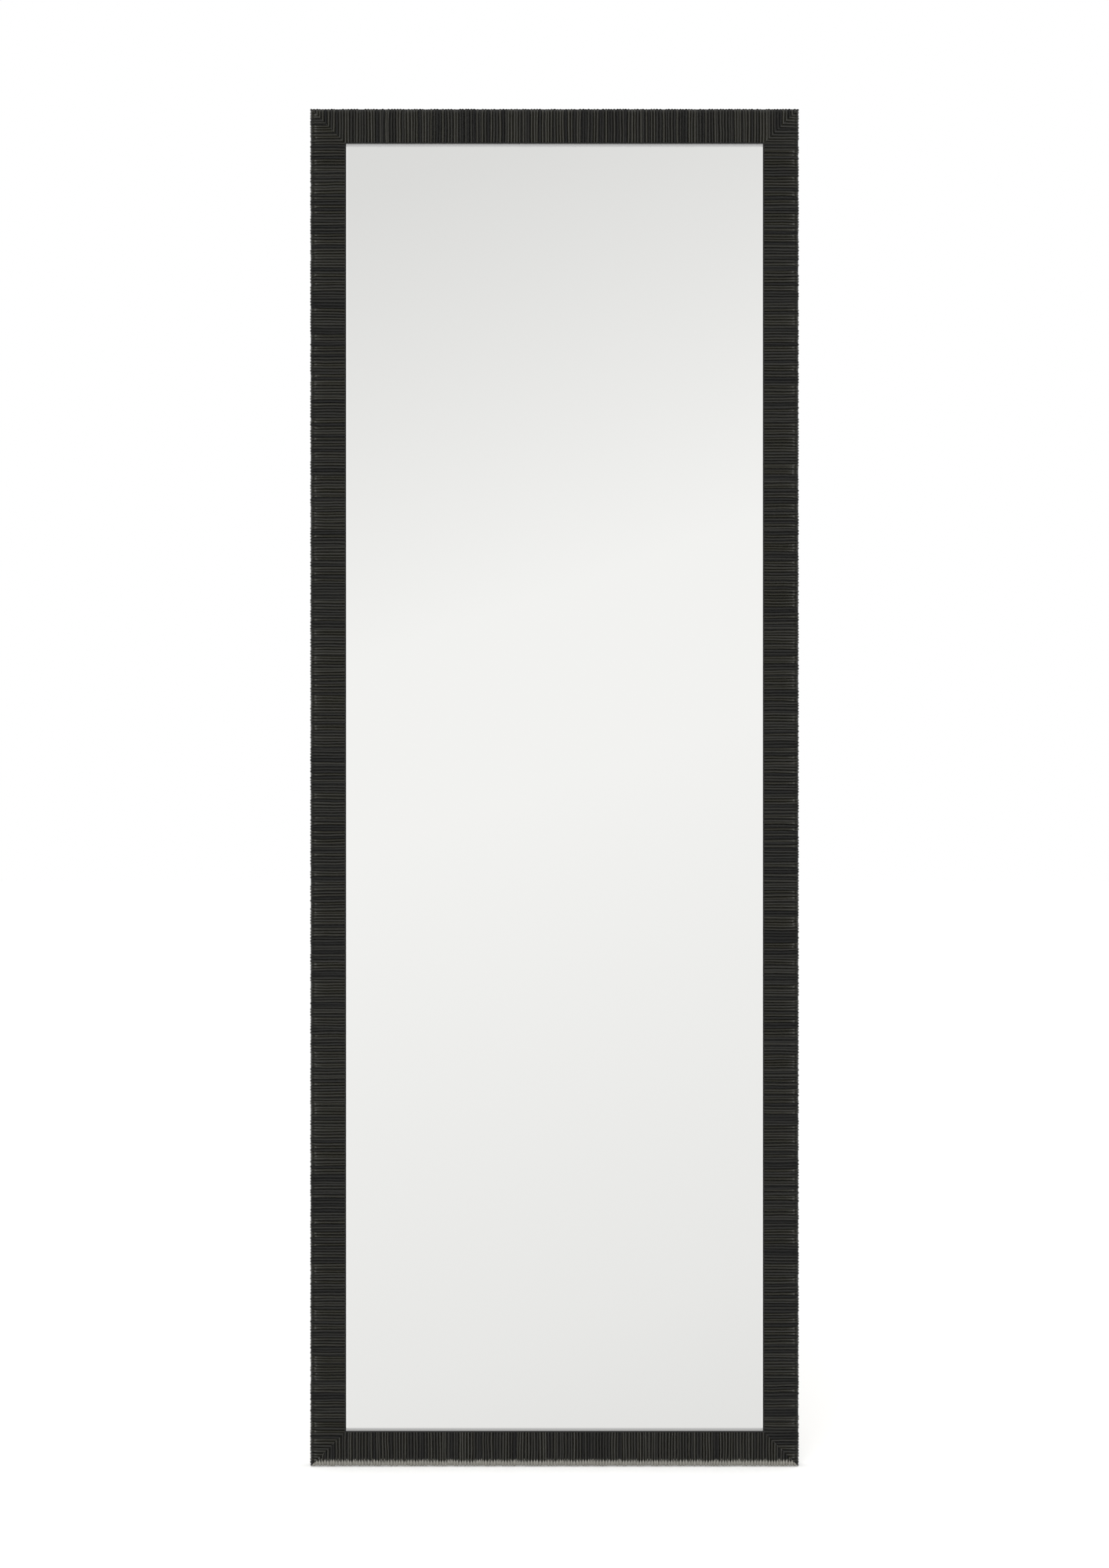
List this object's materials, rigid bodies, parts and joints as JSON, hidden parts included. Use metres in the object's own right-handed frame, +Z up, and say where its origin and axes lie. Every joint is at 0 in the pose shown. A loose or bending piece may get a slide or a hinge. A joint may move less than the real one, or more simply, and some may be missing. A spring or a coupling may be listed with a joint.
{
  "type": "full-length wall mirror",
  "caption": "Tall rectangular wall mirror in a mitred frame covered with black rattan strands, hung by swinging D-rings on its back.",
  "frame": {"origin": "on the wall plane that the hangers and bumpers bear on, on the vertical centre line, at the height of the frame's bottom edge", "axes": "+X to the right as seen by a person looking into the mirror, +Y from the mirror into the wall, +Z up; the front faces -Y"},
  "size_m": [0.648, 0.041, 1.8],
  "materials": {
    "rattan": "rattan strands stained and lacquered black, satin",
    "black_wood": "black stained wood, matt",
    "black_lacquer": "black lacquered strip, satin",
    "mirror": "silvered float glass, polished",
    "hardboard": "brown hardboard, smooth face out",
    "foam": "white foam tape",
    "zinc_steel": "zinc-plated steel",
    "rubber": "black rubber, matt"
  },
  "bodies": {
    "frame": {"stile_left": "black_wood", "stile_right": "black_wood", "rail_top": "black_wood", "rail_bottom": "black_wood", "rattan_cover_left": "rattan", "rattan_cover_right": "rattan", "rattan_cover_top": "rattan", "rattan_cover_bottom": "rattan", "sight_strip_left": "black_lacquer", "sight_strip_right": "black_lacquer", "sight_strip_top": "black_lacquer", "sight_strip_bottom": "black_lacquer", "mirror_glass": "mirror", "glass_setting_pads": "rubber", "cushion_tape": "foam", "backing_board": "hardboard", "retaining_points": "zinc_steel", "mitre_v_nails": "zinc_steel", "hanger_straps": "zinc_steel", "hanger_screws": "zinc_steel", "wall_bumper_left": "rubber", "wall_bumper_right": "rubber"},
    "left_ring": {"hanger_ring_left": "zinc_steel"},
    "right_ring": {"hanger_ring_right": "zinc_steel"}
  },
  "joints": [
    {"name": "left_ring_swing", "type": "hinge", "parent": "frame", "child": "left_ring", "pos_m": [-0.30355, -0.003, 1.5], "axis": [1, 0, 0], "range_deg": [0, 180]},
    {"name": "right_ring_swing", "type": "hinge", "parent": "frame", "child": "right_ring", "pos_m": [0.30355, -0.003, 1.5], "axis": [1, 0, 0], "range_deg": [0, 180]}
  ]
}
